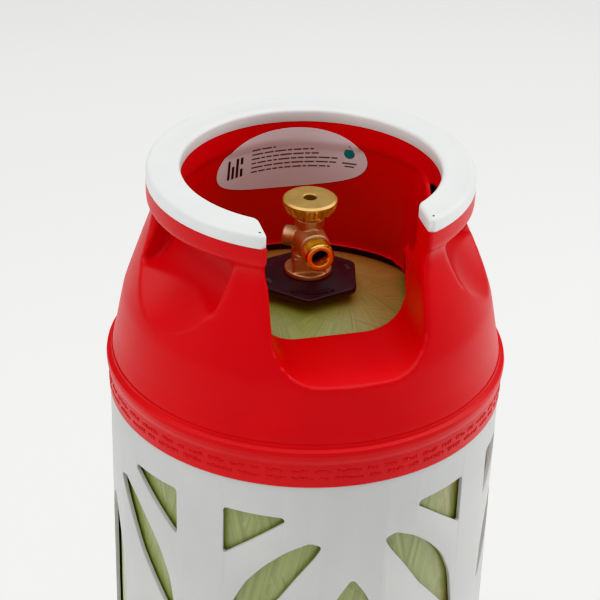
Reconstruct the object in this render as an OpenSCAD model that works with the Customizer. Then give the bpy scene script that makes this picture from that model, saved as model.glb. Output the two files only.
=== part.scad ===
// Composite gas cylinder: wound fibre vessel in a two-part moulded casing, with a grip ring and a cast brass valve.
// Origin: middle of the base, on the floor. +Z is up and the open front of the collar faces -Y.

/* [Overall size] */
// Height from the floor to the top of the grip ring
overall_h = 587; // [540:1:720]
// Diameter over the bead, the widest place
body_d = 305; // [254:1:366]

/* [Casing] */
// Wall of both casing mouldings
wall = 3.2; // [2.4:0.1:4]
// Air gap between the vessel and the lower casing
vessel_gap = 1.8; // [1:0.1:4]
// How far the bead stands out from the skirt
bead_out = 1.8; // [1:0.1:3]
// Step from the skirt in to the lower casing
casing_step = 0.7; // [0.4:0.1:1.5]
// Height of the foot rim under the casing floor
foot_h = 9; // [6:1:16]
// Height of the vessel's lowest point over the floor
vessel_foot = 16; // [14:1:30]
// Number of window groups round the casing
window_groups = 4; // [3:1:4]
// Clearance between the two casings where they plug together
casing_fit = 0.4; // [0.3:0.05:0.8]

/* [Upper casing] */
// Height of the upper casing from the skirt's edge to the grip ring's seat
hood_h = 171.6; // [150:0.1:206]
// Height of the skirt under the bead
skirt_h = 19.6; // [12:0.1:24]
// Height of the bead
bead_h = 11; // [8:0.5:14]
// Diameter of the rail that the grip ring sits on
rail_d = 241.4; // [202:0.1:290]
// Radial width of the rail
rail_w = 25.2; // [20:0.1:30]
// Height of the rail
rail_h = 17.6; // [14:0.1:21]
// Step from the rail in to the pillars
rail_step = 4.7; // [3:0.1:6]
// How much the well widens from the rail down to the vessel
well_flare = 13; // [5:0.5:16]
// Distance from the front opening's lowest point to the skirt's edge
shelf_h = 77; // [70:0.5:84]
// Radius of the front opening's round bottom
front_r = 50; // [40:1:54]
// Width between the ends of the rail
front_w = 115.2; // [110:0.1:138]

/* [Hand holds] */
// Angle from the side of the body forwards to the middle of each hand hold
hold_angle = 21.5; // [15:0.5:25]
// Radius of the shallow scoop under each hand hold
scoop_r = 120; // [100:1:144]
// Radius of the deep pocket under the rail
pocket_r = 24; // [20:0.5:26]
// Width of the deep pocket
pocket_w = 92; // [76:1:96]
// Height of the slot between the pocket's lip and the rail
slot_h = 12; // [8:0.5:14]
// Radius of the slot's curved lip
slot_r = 102; // [85:1:122]

/* [Grip ring] */
// Thickness of the grip ring
ring_t = 10.8; // [8:0.1:13]
// Radial width of the grip ring
ring_w = 25.2; // [20:0.1:30]
// Depth of the tongue that holds the ring in the rail
tongue_h = 3.6; // [2:0.1:5]
// Width of the tongue
tongue_w = 3; // [2:0.1:4]
// Clearance round the tongue
tongue_fit = 0.3; // [0.25:0.05:0.5]

/* [Vessel] */
// Height of the vessel's crown over the skirt's edge
crown_h = 80; // [74:0.5:84]
// Height of each domed end
dome_h = 80; // [75:1:100]
// Thickness of the wound fibre
winding_t = 4.2; // [3:0.1:6]
// Thickness of the plastic liner
liner_t = 3; // [2:0.1:4]
// Diameter of the threaded boss in the vessel's neck
boss_d = 33; // [32.5:0.5:34]
// Height of the boss over the crown
boss_h = 12.4; // [11.5:0.1:14]
// Thickness of the boss flange inside the liner
boss_flange_t = 5; // [3:0.5:8]
// Distance across the flats of the hexagonal neck plate
plate_af = 72; // [60:0.5:86]
// Thickness of the neck plate
plate_t = 5; // [4:0.1:6]
// Angle that the neck plate is turned by
plate_turn = 16; // [-30:1:30]

/* [Label] */
// Width of the label on the back of the well
label_w = 130; // [104:1:140]
// Height of the label
label_h = 54; // [44:1:58]
// Thickness of the label
label_t = 0.3; // [0.2:0.05:0.5]
// Thickness of the glue under the label
label_glue = 0.25; // [0.2:0.05:0.4]

/* [Valve] */
// Diameter of the valve's flange
flange_d = 35.8; // [34:0.1:43]
// Thickness of the valve's flange
flange_t = 4; // [3:0.1:5]
// Thickness of the gasket under the flange
gasket_t = 0.6; // [0.4:0.1:1.2]
// Diameter of the threaded stem in the boss
stem_d = 25.4; // [22:0.1:26.4]
// Length of the threaded stem under the flange
stem_l = 24; // [18:0.5:29]
// Side of the square block over the flange
block_w = 24; // [22:0.5:25]
// Height of the square block
block_h = 12; // [9:0.5:14]
// Angle that the square block is turned by
block_turn = 80; // [0:1:90]
// Diameter of the cast column
column_d = 18; // [17.5:0.5:21]
// Diameter of the collar that the gland nut screws into
collar_d = 22.4; // [22:0.1:24]
// Height of that collar
collar_h = 6.5; // [5:0.5:8]
// Height of the valve body over its flange seat
body_h = 46; // [44:0.5:52]
// Height of the outlet axis over the flange seat
outlet_z = 27.5; // [26:0.5:29]
// Diameter of the outlet's threaded spigot
outlet_d = 21.8; // [20:0.1:23]
// Distance from the spindle axis to the end of the spigot
outlet_reach = 33; // [30:0.5:40]
// Length of the threaded spigot
spigot_l = 13; // [11:0.5:15]
// Diameter of the outlet's conical mouth
mouth_d = 13; // [11:0.1:15]
// Diameter of the gas passages
passage_d = 6.4; // [5:0.1:7]
// Direction of the relief valve, measured from +X
relief_angle = 150; // [120:1:160]
// Height of the relief valve's axis over the flange seat
relief_z = 27; // [25:0.5:29]
// Outer diameter of the relief valve's boss
relief_d = 15.6; // [15:0.1:18]
// Distance from the spindle axis to the end of the relief boss
relief_reach = 20; // [20:0.5:24]

/* [Spindle] */
// Pitch of the spindle thread
thread_pitch = 1; // [0.8:0.05:1.2]
// Turns of the handwheel from closed to open
open_turns = 2; // [1.6:0.1:2.4]
// Diameter of the threaded plug
plug_d = 11.84; // [11:0.02:11.84]
// Diameter of the bore that the plug turns in
plug_bore_d = 12; // [12:0.02:12.4]
// Diameter of the upper spindle
spindle_d = 6; // [5:0.1:7.2]
// Radial clearance where a part turns or slides
run_fit = 0.05; // [0.02:0.01:0.1]
// Side of the spindle's square tang
tang_w = 4; // [3.4:0.1:4.8]

/* [Handwheel] */
// Diameter of the handwheel
wheel_d = 40.4; // [34:0.1:48]
// Height of the handwheel
wheel_h = 11.4; // [9.5:0.1:13.6]
// Number of grip notches
notches = 18; // [12:1:24]
// Radius of a grip notch
notch_r = 2.1; // [1.5:0.1:2.3]
// Diameter of the recess in the middle of the handwheel
hub_recess_d = 10; // [9.6:0.1:12]

/* [Hidden] */
$fn = 96;
eps = 0.01;
far = 400;

// levels
skirt_z = overall_h - ring_t - hood_h;
seat_z = skirt_z + hood_h;
rail_z = seat_z - rail_h;
shelf_z = skirt_z + shelf_h;
crown_z = skirt_z + crown_h;
boss_z = crown_z + boss_h;
flange_z = boss_z + gasket_t;
body_z = flange_z + body_h;

// radii
bead_r = body_d / 2;
skirt_r = bead_r - bead_out;
casing_r = skirt_r - casing_step;
vessel_r = casing_r - wall - vessel_gap;
rail_r = rail_d / 2;
rail_in_r = rail_r - rail_w;
neck_r = rail_r - rail_step;
hood_foot_r = skirt_r - 3.4;
shoulder_r = neck_r + (hood_foot_r - neck_r) * 0.73;
flank_r = neck_r + (hood_foot_r - neck_r) * 0.15;

// heights of the hood's outline over the skirt's edge
bead_top = skirt_h + bead_h;
foot_top = bead_top + 7.4;
shoulder_top = shelf_h + 3;
flank_top = hood_h - 40.6;
neck_top = hood_h - rail_h - 6;
cavity_drop = tongue_h + 4;

// spindle stack, over the flange seat
seat_h = outlet_z - 6.5;
pad_t = 1.6;
plug_l = 15.5;
plug_thread_l = 5.5;
gland_l = 4;
gland_hex_h = 3.6;
gland_d = 18;
lift = thread_pitch * open_turns;
plug_top = flange_z + seat_h + pad_t + plug_l;
gland_z = body_z - gland_l;
gland_top = body_z + gland_hex_h;
wheel_z = gland_top + 0.5;

// relief valve, measured outwards along its axis
relief_seat = 10.4;
relief_bore_r = 5;
relief_hole_r = 1.8;
relief_pad_t = 1.2;
relief_piston_l = 2.4;
relief_cap_l = 1.6;
relief_cap_s = relief_reach - relief_cap_l - 0.6;
relief_round = 2;
spring_s = relief_seat + relief_pad_t + relief_piston_l;
spring_wire = 0.8;
spring_turns = 3;
drill_s = 8.2;
drill_r = 1.1;

// lower edge of the well's back wall, and where the shelf ends
lip_h = shelf_h - 18;
back_y = 40;
// ring rib under the vessel
rib_r = 96;
// tongue of the grip ring
tongue_r = rail_r - rail_w * 0.55;
// middle of the round scoop, out from the rail and up from the ring's seat
scoop_out = 84.3;
scoop_up = 14.4;
// hole in the shelf: its round front, and how far back it starts
hole_r = 66;
hole_y = 4;
// flattened sides of the well, beside the hand holds
hold_in_r = rail_in_r - 7.5;
hold_arc_r = 154;
hold_arc_in = hold_in_r - hold_arc_r;

function dome(r, big_r, h) = h * sqrt(1 - pow(min(r / big_r, 1), 2));
function arc_points(cr, cz, r, a0, a1, n) = [for (i = [0:n]) let (a = a0 + (a1 - a0) * i / n) [cr + r * cos(a), cz + r * sin(a)]];

module lathe(points) { rotate_extrude(convexity = 8) polygon(points); }
module tube(r1, r0, h) { lathe([[r0, 0], [r1, 0], [r1, h], [r0, h]]); }
module both_sides() { children(); mirror([1, 0, 0]) children(); }

// Outline of the upper casing, from the axis out and up, drawn in by inset
function hood_outline(inset) = concat(
    [[0, inset > 0 ? -1 : 0], [skirt_r - inset, inset > 0 ? -1 : 0], [skirt_r - inset, skirt_h]],
    [for (a = [-60:30:60]) [skirt_r - inset + bead_out * cos(a), skirt_h + bead_h * (1 + sin(a)) / 2]],
    [[hood_foot_r - inset, foot_top], [shoulder_r - inset, shoulder_top], [flank_r - inset, flank_top],
     [(flank_r + 2 * neck_r) / 3 - inset, (flank_top + neck_top) / 2], [neck_r - inset, neck_top]],
    inset > 0 ? [[neck_r - inset, hood_h - cavity_drop], [0, hood_h - cavity_drop]]
              : [[neck_r, hood_h - rail_h], [rail_r - 1, hood_h - rail_h], [rail_r, hood_h - rail_h + 2],
                 [rail_r, hood_h], [0, hood_h]]);

// The well inside the collar: flattened beside the hand holds, and open down to the vessel behind the shelf
module well(grow) {
    foot_r = rail_in_r + well_flare;
    low = lip_h - (grow > 0 ? 0 : 1);
    knee = hood_h - rail_h - 3;
    translate([0, 0, skirt_z]) {
        translate([0, 0, knee + 2]) cylinder(r = rail_in_r + grow, h = rail_h + 2);
        difference() {
            intersection() {
                lathe([[0, low], [foot_r + grow, low], [rail_in_r + 2 + grow, knee], [rail_in_r + grow, knee + 4],
                    [0, knee + 4]]);
                rotate(-hold_angle) translate([hold_arc_in, 0, 0]) cylinder(r = hold_arc_r + grow, h = hood_h - rail_h - 0.5);
                rotate(180 + hold_angle) translate([hold_arc_in, 0, 0]) cylinder(r = hold_arc_r + grow, h = hood_h - rail_h - 0.5);
            }
            translate([-far, back_y - grow - far, 0]) cube([2 * far, far, shelf_h - grow]);
        }
    }
}

// The opening in the front of the collar, running inwards over the shelf
module front_opening(grow) {
    top = hood_h + 20;
    translate([0, -40, skirt_z]) rotate([90, 0, 0]) linear_extrude(far) union() {
        translate([0, shelf_h + front_r - 0.6]) circle(r = front_r + grow);
        polygon([[-front_r - grow, shelf_h + front_r - 0.6], [front_r + grow, shelf_h + front_r - 0.6],
            [front_w / 2 + grow, hood_h - rail_h], [front_w / 2 + grow, top],
            [-front_w / 2 - grow, top], [-front_w / 2 - grow, hood_h - rail_h]]);
    }
}

// The scoop and pocket under the rail on each side
module hand_hold(grow) {
    both_sides() rotate(-hold_angle) intersection() {
        union() {
            translate([rail_r + scoop_out, 0, seat_z + scoop_up]) sphere(r = scoop_r + grow);
            translate([hold_in_r + wall + 0.8 + pocket_r, 0, rail_z - 16]) rotate([90, 0, 0])
                cylinder(r = pocket_r + grow, h = pocket_w + 2 * grow, center = true);
        }
        translate([0, -far, 0]) cube([far, 2 * far, rail_z + 0.4 + grow]);
    }
}

module hand_slot() {
    both_sides() rotate(-hold_angle) intersection() {
        translate([rail_in_r - 16, 0, rail_z - slot_h + slot_r]) rotate([0, 90, 0]) cylinder(r = slot_r, h = 30);
        translate([0, -far, 0]) cube([far, 2 * far, rail_z]);
    }
}

// Outline of the hole in the shelf, round the vessel's crown
module shelf_hole() {
    side = hole_r - 4;
    side_y = -19;
    wide = rail_in_r - 7;
    linear_extrude(31) union() {
        translate([0, hole_y]) circle(r = hole_r);
        polygon([[-side, side_y], [side, side_y], [wide, back_y - 4], [wide, back_y + 10], [-wide, back_y + 10],
            [-wide, back_y - 4]]);
    }
}

module upper_casing() {
    $fn = 60;
    color("crimson") resize([0, 0, hood_h]) difference() {
        translate([0, 0, skirt_z]) lathe(hood_outline(0));
        difference() {
            translate([0, 0, skirt_z]) lathe(hood_outline(wall));
            well(wall);
            front_opening(wall);
            hand_hold(wall);
        }
        well(0);
        translate([0, 0, shelf_z - 30]) shelf_hole();
        front_opening(0);
        hand_hold(0);
        hand_slot();
        translate([0, 0, seat_z - tongue_h - tongue_fit])
            tube(tongue_r + tongue_w + tongue_fit, tongue_r - tongue_fit, far);
    }
}

module grip_ring() {
    edge = 3.2;
    color("whitesmoke") difference() {
        union() {
            translate([0, 0, seat_z]) lathe(concat([[rail_r - ring_w, 0], [rail_r, 0]],
                arc_points(rail_r - edge, ring_t - edge, edge, 0, 90, 4),
                arc_points(rail_r - ring_w + edge, ring_t - edge, edge, 90, 180, 4)));
            translate([0, 0, seat_z - tongue_h]) tube(tongue_r + tongue_w, tongue_r, tongue_h + 1);
        }
        translate([-front_w / 2, -far, 0]) cube([front_w, far, 2 * far]);
    }
}

// Windows of one group: a triangle high up and a curved leaf under it, given as angle and depth
triangle = [[17.5, 28], [37.3, 26.5], [37.3, 69]];
leaf = [[9, 54], [11, 51], [14, 51], [19, 58], [25, 72], [30.4, 89], [33.5, 108], [36, 130], [37, 152], [34.5, 146],
    [28, 125], [21.2, 103.5], [16, 82], [10.7, 62]];
spindle_half = [[0, 84], [4, 100], [8, 125], [10, 155]];

module window(points, middle) {
    rotate(middle - 90) rotate([90, 0, 90]) linear_extrude(far)
        polygon([for (p = points) [casing_r * sin(p[0] - middle), p[1]]]);
}

module windows() {
    span = skirt_z;
    step = 360 / window_groups;
    shrink = 4 / window_groups;
    for (g = [0:window_groups - 1]) rotate(g * step) {
        for (side = [-1, 1]) for (way = [0, 1]) {
            window([for (p = triangle) [side * p[0] * shrink, way == 0 ? span - p[1] : p[1]]], side * 28 * shrink);
            window([for (p = leaf) [side * p[0] * shrink, way == 0 ? span - p[1] : p[1]]], side * 24 * shrink);
        }
        window(concat([for (p = spindle_half) [p[0], span - p[1]]], [for (i = [3:-1:0]) [spindle_half[i][0], spindle_half[i][1]]],
            [for (i = [1:3]) [-spindle_half[i][0], spindle_half[i][1]]],
            [for (i = [3:-1:1]) [-spindle_half[i][0], span - spindle_half[i][1]]]), 0);
    }
}

module lower_casing() {
    spigot_h = 14;
    spigot_r = skirt_r - wall - casing_fit;
    spigot_t = 2;
    foot_in = 8;
    color("gainsboro") difference() {
        union() {
            lathe([[casing_r - foot_in, 0], [casing_r - foot_in + wall, 0], [casing_r, foot_h + 6], [casing_r, skirt_z],
                [spigot_r, skirt_z], [spigot_r, skirt_z + spigot_h], [spigot_r - spigot_t, skirt_z + spigot_h],
                [spigot_r - spigot_t, skirt_z - 4], [casing_r - wall, skirt_z - 8], [casing_r - wall, foot_h + 12],
                [casing_r - wall - foot_in, foot_h + wall], [55, foot_h + wall], [55, foot_h], [casing_r - foot_in, foot_h]]);
            translate([0, 0, foot_h]) tube(rib_r + wall, rib_r, rib_z - foot_h);
        }
        windows();
        for (a = [0:45:315]) rotate(a + 22.5) translate([(rib_r + casing_r) / 2 - 6, 0, -1]) cylinder(r = 9, h = far / 8);
    }
}

// Underside of the vessel at radius r, and the top of the ring rib that carries it
function under_dome(r) = vessel_foot + dome_h - dome(r, vessel_r, dome_h);
rib_z = floor(under_dome(rib_r - 3)) - 3;

module base_pad() {
    r0 = rib_r - 3;
    r1 = rib_r + wall + 3;
    color("dimgray") lathe([[r0, rib_z], [r1, rib_z], [r1, under_dome(r1) - 1.2], [r0, under_dome(r0) - 0.8]]);
}

// Closed outline of a vessel skin: domed ends and a straight middle
function vessel_outline(t) = concat([for (a = [90:-5:0]) [(vessel_r - t) * cos(a), crown_z - dome_h + (dome_h - t) * sin(a)]],
    [for (a = [0:5:90]) [(vessel_r - t) * cos(a), vessel_foot + dome_h - (dome_h - t) * sin(a)]]);

boss_flange_r = 32;

module composite_shell() {
    color("darkkhaki") difference() {
        lathe(vessel_outline(0));
        lathe(vessel_outline(winding_t));
        translate([0, 0, crown_z - 30]) cylinder(d = boss_d, h = 60);
    }
}

module liner() {
    color("ivory") difference() {
        lathe(vessel_outline(winding_t));
        lathe(vessel_outline(winding_t + liner_t));
        translate([0, 0, crown_z - winding_t - liner_t - 20]) cylinder(r = boss_d / 2 + 3, h = 60);
    }
}

module neck_boss() {
    inner_z = crown_z - winding_t - liner_t - boss_flange_t - 2;
    color("silver") difference() {
        union() {
            translate([0, 0, inner_z + 6]) cylinder(d = boss_d, h = boss_z - inner_z - 6);
            translate([0, 0, inner_z]) cylinder(r = boss_flange_r - 8, h = boss_flange_t);
            translate([0, 0, inner_z]) cylinder(d = boss_d, h = 8);
        }
        translate([0, 0, inner_z - 1]) cylinder(d = stem_d + 2 * run_fit, h = far);
    }
}

module boss_seal() {
    z = crown_z - winding_t - liner_t - boss_flange_t - 2 + boss_flange_t;
    color("black") translate([0, 0, z]) tube(boss_d / 2 + 2.6, boss_d / 2, 1.2);
}

module neck_plate() {
    hub_r = 25;
    hub_z = crown_z - vessel_drop(hub_r);
    top = boss_z - 2.4;
    color("#3a2e33") difference() {
        union() {
            rotate(plate_turn) translate([0, 0, top - plate_t]) cylinder(d = plate_af / cos(30), h = plate_t, $fn = 6);
            translate([0, 0, top - 1]) lathe([[0, 0], [plate_af / 2 - 2, 0], [boss_d / 2 + 3, 3.2], [0, 3.2]]);
            translate([0, 0, hub_z]) cylinder(r = hub_r, h = top - hub_z);
        }
        translate([0, 0, hub_z - 1]) cylinder(d = boss_d + 4 * run_fit, h = far);
    }
}

function vessel_drop(r) = dome_h - dome(r, vessel_r, dome_h) - 1.2;

module neck_gasket() {
    color("black") translate([0, 0, boss_z]) tube(boss_d / 2 - 0.4, stem_d / 2 + 0.3, gasket_t);
}

module label() {
    foot_r = rail_in_r + well_flare;
    z0 = lip_h - 1;
    knee = hood_h - rail_h - 3;
    function wall_r(z) = foot_r + (rail_in_r + 2 - foot_r) * (z - z0) / (knee - z0);
    mid = hood_h - 34.5;
    low = mid - label_h / 2 - 2;
    high = mid + label_h / 2 + 2;
    outer = label_glue;
    inner = label_glue + label_t;
    color("mistyrose") translate([0, 0, skirt_z]) intersection() {
        lathe([[wall_r(low) - inner, low], [wall_r(low) - outer, low], [rail_in_r + 2 - outer, knee],
            [rail_in_r - outer, knee + 2], [rail_in_r - outer, high], [rail_in_r - inner, high],
            [rail_in_r - inner, knee + 2], [rail_in_r + 2 - inner, knee]]);
        rotate(-5) translate([0, 60, mid]) rotate([-90, 0, 0]) linear_extrude(far)
            polygon([for (a = [0:10:350]) [label_w / 2 * 0.93 * cos(a), label_h / 2 * sin(a)]]);
    }
}

// Cast body on the flange seat: flange, square block, column, outlet and relief boss
module valve_body() {
    outlet_root = outlet_reach - spigot_l;
    shoulder_h = 5;
    color("#c08a62") translate([0, 0, flange_z]) difference() {
        union() {
            cylinder(d = flange_d, h = flange_t);
            translate([0, 0, -stem_l]) cylinder(d = stem_d, h = stem_l);
            rotate(block_turn) translate([-block_w / 2, -block_w / 2, 0]) cube([block_w, block_w, flange_t + block_h]);
            translate([0, 0, flange_t + block_h]) cylinder(d1 = block_w, d2 = column_d + 1, h = shoulder_h);
            cylinder(d1 = column_d + 1.5, d2 = column_d, h = body_h);
            translate([0, 0, body_h - collar_h]) cylinder(d = collar_d, h = collar_h);
            translate([0, 0, body_h - collar_h - 2]) cylinder(d1 = column_d, d2 = collar_d, h = 2);
            translate([0, 0, outlet_z]) rotate([90, 0, 0]) cylinder(d1 = outlet_d + 2, d2 = outlet_d + 1, h = outlet_root);
            translate([0, 0, outlet_z]) rotate([90, 0, 0]) cylinder(d = outlet_d, h = outlet_reach - 1.2);
            translate([0, -outlet_reach + 1.2, outlet_z]) rotate([90, 0, 0])
                cylinder(d1 = outlet_d, d2 = outlet_d - 2.4, h = 1.2);
            translate([0, 0, relief_z]) rotate(relief_angle) rotate([0, 90, 0])
                lathe([[0, 0], [relief_d / 2, 0], [relief_d / 2, relief_reach - relief_round],
                    [relief_d / 2 - 0.6, relief_reach - relief_round * 0.3], [relief_d / 2 - relief_round, relief_reach],
                    [0, relief_reach]]);
        }
        translate([0, 0, -stem_l - 1]) cylinder(d = passage_d, h = stem_l + seat_h + 2);
        translate([0, 0, seat_h]) cylinder(d = plug_bore_d, h = far);
        translate([0, 0, body_h - gland_l]) cylinder(d = gland_d + 2 * run_fit, h = far);
        translate([0, 0, outlet_z]) rotate([90, 0, 0]) cylinder(d = passage_d, h = far);
        translate([0, -outlet_reach + 9, outlet_z]) rotate([90, 0, 0]) cylinder(d1 = passage_d, d2 = mouth_d, h = 9 + eps);
        translate([0, 0, relief_z]) rotate(relief_angle) {
            translate([relief_seat, 0, 0]) rotate([0, 90, 0]) cylinder(r = relief_bore_r, h = far);
            translate([drill_s - drill_r, 0, 0]) rotate([0, 90, 0]) cylinder(r = relief_hole_r, h = relief_seat);
            translate([drill_s, 0, -relief_z - stem_l - 1]) cylinder(r = drill_r, h = relief_z + stem_l + 1);
        }
    }
}

module gland_nut() {
    hex = 19;
    color("#c9a35c") difference() {
        union() {
            translate([0, 0, gland_z]) cylinder(d = gland_d, h = gland_l);
            translate([0, 0, body_z]) cylinder(d = hex / cos(30), h = gland_hex_h, $fn = 6);
        }
        translate([0, 0, gland_z - 1]) cylinder(d = spindle_d + 2 * run_fit, h = far / 8);
        translate([0, 0, body_z]) cylinder(r = spindle_d / 2 + 1.8, h = 1.8);
    }
}

module gland_seal() {
    color("black") translate([0, 0, body_z + 0.05]) tube(spindle_d / 2 + 1.75, spindle_d / 2 + 0.04, 1.7);
}

module upper_spindle() {
    collar_r = 5.2;
    collar_t = 1.3;
    collar_z = gland_z - collar_t - 0.1;
    tang_z = plug_top - 4.5 + lift + 0.3;
    square = 4.6;
    color("goldenrod") union() {
        translate([0, 0, collar_z]) cylinder(r = collar_r, h = collar_t);
        translate([0, 0, collar_z]) cylinder(d = spindle_d, h = wheel_z - collar_z + 1);
        translate([-tang_w / 2, -tang_w / 2, tang_z]) cube([tang_w, tang_w, collar_z - tang_z + eps]);
        translate([-square / 2, -square / 2, wheel_z]) cube([square, square, wheel_h - 3.4]);
        translate([0, 0, wheel_z + wheel_h - 3.4]) cylinder(r = 1.7, h = 2.2);
    }
}

module lower_spindle() {
    nose_r = 4.4;
    socket = tang_w + 0.2;
    z0 = flange_z + seat_h + pad_t;
    color("goldenrod") difference() {
        union() {
            translate([0, 0, z0]) cylinder(r = nose_r, h = plug_l);
            translate([0, 0, z0 + plug_l - plug_thread_l]) cylinder(d = plug_d, h = plug_thread_l);
        }
        translate([-socket / 2, -socket / 2, plug_top - 4.5]) cube([socket, socket, far / 8]);
        translate([0, 0, z0 - 1]) cylinder(r = 1.6, h = 2.6);
    }
}

module seat_pad() {
    color("black") union() {
        translate([0, 0, flange_z + seat_h + 0.02]) cylinder(r = 4.4, h = pad_t - 0.04);
        translate([0, 0, flange_z + seat_h + pad_t - 0.1]) cylinder(r = 1.5, h = 1.5);
    }
}

module handwheel() {
    cap_h = 2.4;
    foot_r = wheel_d / 2 - 2.2;
    color("#d2ae66") translate([0, 0, wheel_z]) difference() {
        lathe([[0, 0], [foot_r - 1, 0], [foot_r, 1], [wheel_d / 2, wheel_h - 5], [wheel_d / 2, wheel_h - 1.4],
            [wheel_d / 2 - 1.6, wheel_h - 0.3], [hub_recess_d / 2, wheel_h], [0, wheel_h]]);
        for (i = [0:notches - 1]) rotate(i * 360 / notches)
            translate([wheel_d / 2 - 0.3, 0, -1]) cylinder(r = notch_r, h = wheel_h - cap_h + 0.6);
        translate([0, 0, wheel_h - 3.4]) cylinder(d = hub_recess_d, h = far / 8);
        translate([-2.35, -2.35, -1]) cube([4.7, 4.7, far / 8]);
        translate([0, 0, -eps]) cylinder(r = spindle_d / 2 + 0.1, h = 1.1);
        translate([0, 0, -1]) tube(foot_r - 3.5, 8, 6);
    }
}

module handwheel_nut() {
    color("#b98f4a") translate([0, 0, wheel_z + wheel_h - 3.38]) difference() {
        cylinder(r = 4.4, h = 1.6);
        translate([0, 0, -1]) cylinder(r = 1.72, h = 4);
    }
}

module slip_washer() {
    color("ivory") translate([0, 0, gland_top + 0.1]) tube(7, spindle_d / 2 + 0.05, 0.35);
}

module along_relief(s) {
    translate([0, 0, flange_z + relief_z]) rotate(relief_angle) translate([s, 0, 0]) rotate([0, 90, 0]) children();
}

module relief_cap() {
    color("#d2ae66") along_relief(relief_cap_s) difference() {
        cylinder(r = relief_bore_r - 0.02, h = relief_cap_l);
        translate([0, 0, -1]) cylinder(r = 1.3, h = far / 8);
        translate([0, 0, relief_cap_l - 0.8]) cylinder(r = 2.4 / cos(30), h = far / 8, $fn = 6);
    }
}

module relief_spring() {
    free_l = relief_cap_s - spring_s;
    pitch = (free_l - spring_wire) / (spring_turns - 1);
    color("silver") along_relief(spring_s) for (i = [0:spring_turns - 1])
        translate([0, 0, spring_wire / 2 + i * pitch]) rotate_extrude() translate([3.6, 0]) circle(d = spring_wire - 0.04);
}

module relief_piston() {
    color("goldenrod") along_relief(relief_seat + relief_pad_t) union() {
        cylinder(r = relief_bore_r - run_fit, h = relief_piston_l);
        cylinder(r = 2.2, h = relief_piston_l + 1);
    }
}

module relief_pad() {
    color("black") along_relief(relief_seat + 0.02) cylinder(r = 3.6, h = relief_pad_t - 0.02);
}

lower_casing();
base_pad();
upper_casing();
grip_ring();
composite_shell();
liner();
neck_boss();
boss_seal();
neck_plate();
neck_gasket();
label();
valve_body();
gland_nut();
gland_seal();
relief_cap();
relief_spring();
handwheel();
handwheel_nut();
upper_spindle();
slip_washer();
lower_spindle();
seat_pad();
relief_piston();
relief_pad();
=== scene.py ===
# Composite gas cylinder: wound vessel, red collar, grey casing, white grip ring and brass valve
import math
import random

import bmesh
import bpy
from mathutils import Matrix, Vector


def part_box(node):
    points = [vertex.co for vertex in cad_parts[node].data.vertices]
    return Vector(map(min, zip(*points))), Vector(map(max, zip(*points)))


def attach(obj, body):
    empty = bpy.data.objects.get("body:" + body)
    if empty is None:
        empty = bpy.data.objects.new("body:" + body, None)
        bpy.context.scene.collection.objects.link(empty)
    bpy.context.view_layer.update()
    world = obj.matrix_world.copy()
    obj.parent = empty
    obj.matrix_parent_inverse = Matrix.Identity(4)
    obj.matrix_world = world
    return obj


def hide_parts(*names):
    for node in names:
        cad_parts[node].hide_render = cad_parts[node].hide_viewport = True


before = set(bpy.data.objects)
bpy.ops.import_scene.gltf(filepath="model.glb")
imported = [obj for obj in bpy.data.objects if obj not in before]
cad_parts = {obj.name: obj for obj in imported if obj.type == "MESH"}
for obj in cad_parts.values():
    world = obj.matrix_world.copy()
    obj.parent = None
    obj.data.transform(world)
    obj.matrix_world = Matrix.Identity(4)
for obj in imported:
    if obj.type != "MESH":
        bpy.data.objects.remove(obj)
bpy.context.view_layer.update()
mm = 0.001
straight = math.radians(179.5)  # a corner opened out this far stays a plain point
upright = Matrix(((0, 0, 1, 0), (1, 0, 0, 0), (0, 1, 0, 0), (0, 0, 0, 1)))  # stands an outline up, x on Y


def nodeBox(name):  # lowest and highest corner of a CAD node, in mm
    low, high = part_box(name)
    return low / mm, high / mm


skirtZ = nodeBox("upper_casing")[0].z  # lower edge of the red casing
seatZ = nodeBox("upper_casing")[1].z  # where the grip ring sits
beadR = nodeBox("upper_casing")[1].x
ringTop = nodeBox("grip_ring")[1].z
railR = nodeBox("grip_ring")[1].x
casingR = nodeBox("lower_casing")[1].x
vesselR = nodeBox("composite_shell")[1].x
vesselFoot = nodeBox("composite_shell")[0].z
crownZ = nodeBox("composite_shell")[1].z
flangeZ = nodeBox("neck_gasket")[1].z
wheelZ = nodeBox("handwheel")[0].z
wheelTop = nodeBox("handwheel")[1].z
wheelR = (nodeBox("handwheel")[1].x - nodeBox("handwheel")[0].x) / 2


def rounded(corners, closed=True, steps=4):  # corners are (x, y, radius), each turned into an arc
    out = []
    last = len(corners) - 1
    for i, (x, y, radius) in enumerate(corners):
        here = Vector((x, y))
        before = Vector(corners[i - 1][:2]) - here
        after = Vector(corners[(i + 1) % len(corners)][:2]) - here
        atEnd = not closed and i in (0, last)
        if radius == 0 or atEnd or abs(before.angle_signed(after)) > straight:
            out.append(here)
            continue
        half = abs(before.angle_signed(after)) / 2
        reach = min(radius / math.tan(half), before.length * 0.49, after.length * 0.49)
        start = here + before.normalized() * reach
        centre = here + (before.normalized() + after.normalized()).normalized() * (reach / math.cos(half))
        turn = (math.pi - 2 * half) * math.copysign(1, before.cross(after)) * -1
        for k in range(steps + 1):
            out.append(centre + Matrix.Rotation(turn * k / steps, 2) @ (start - centre))
    return out


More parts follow.
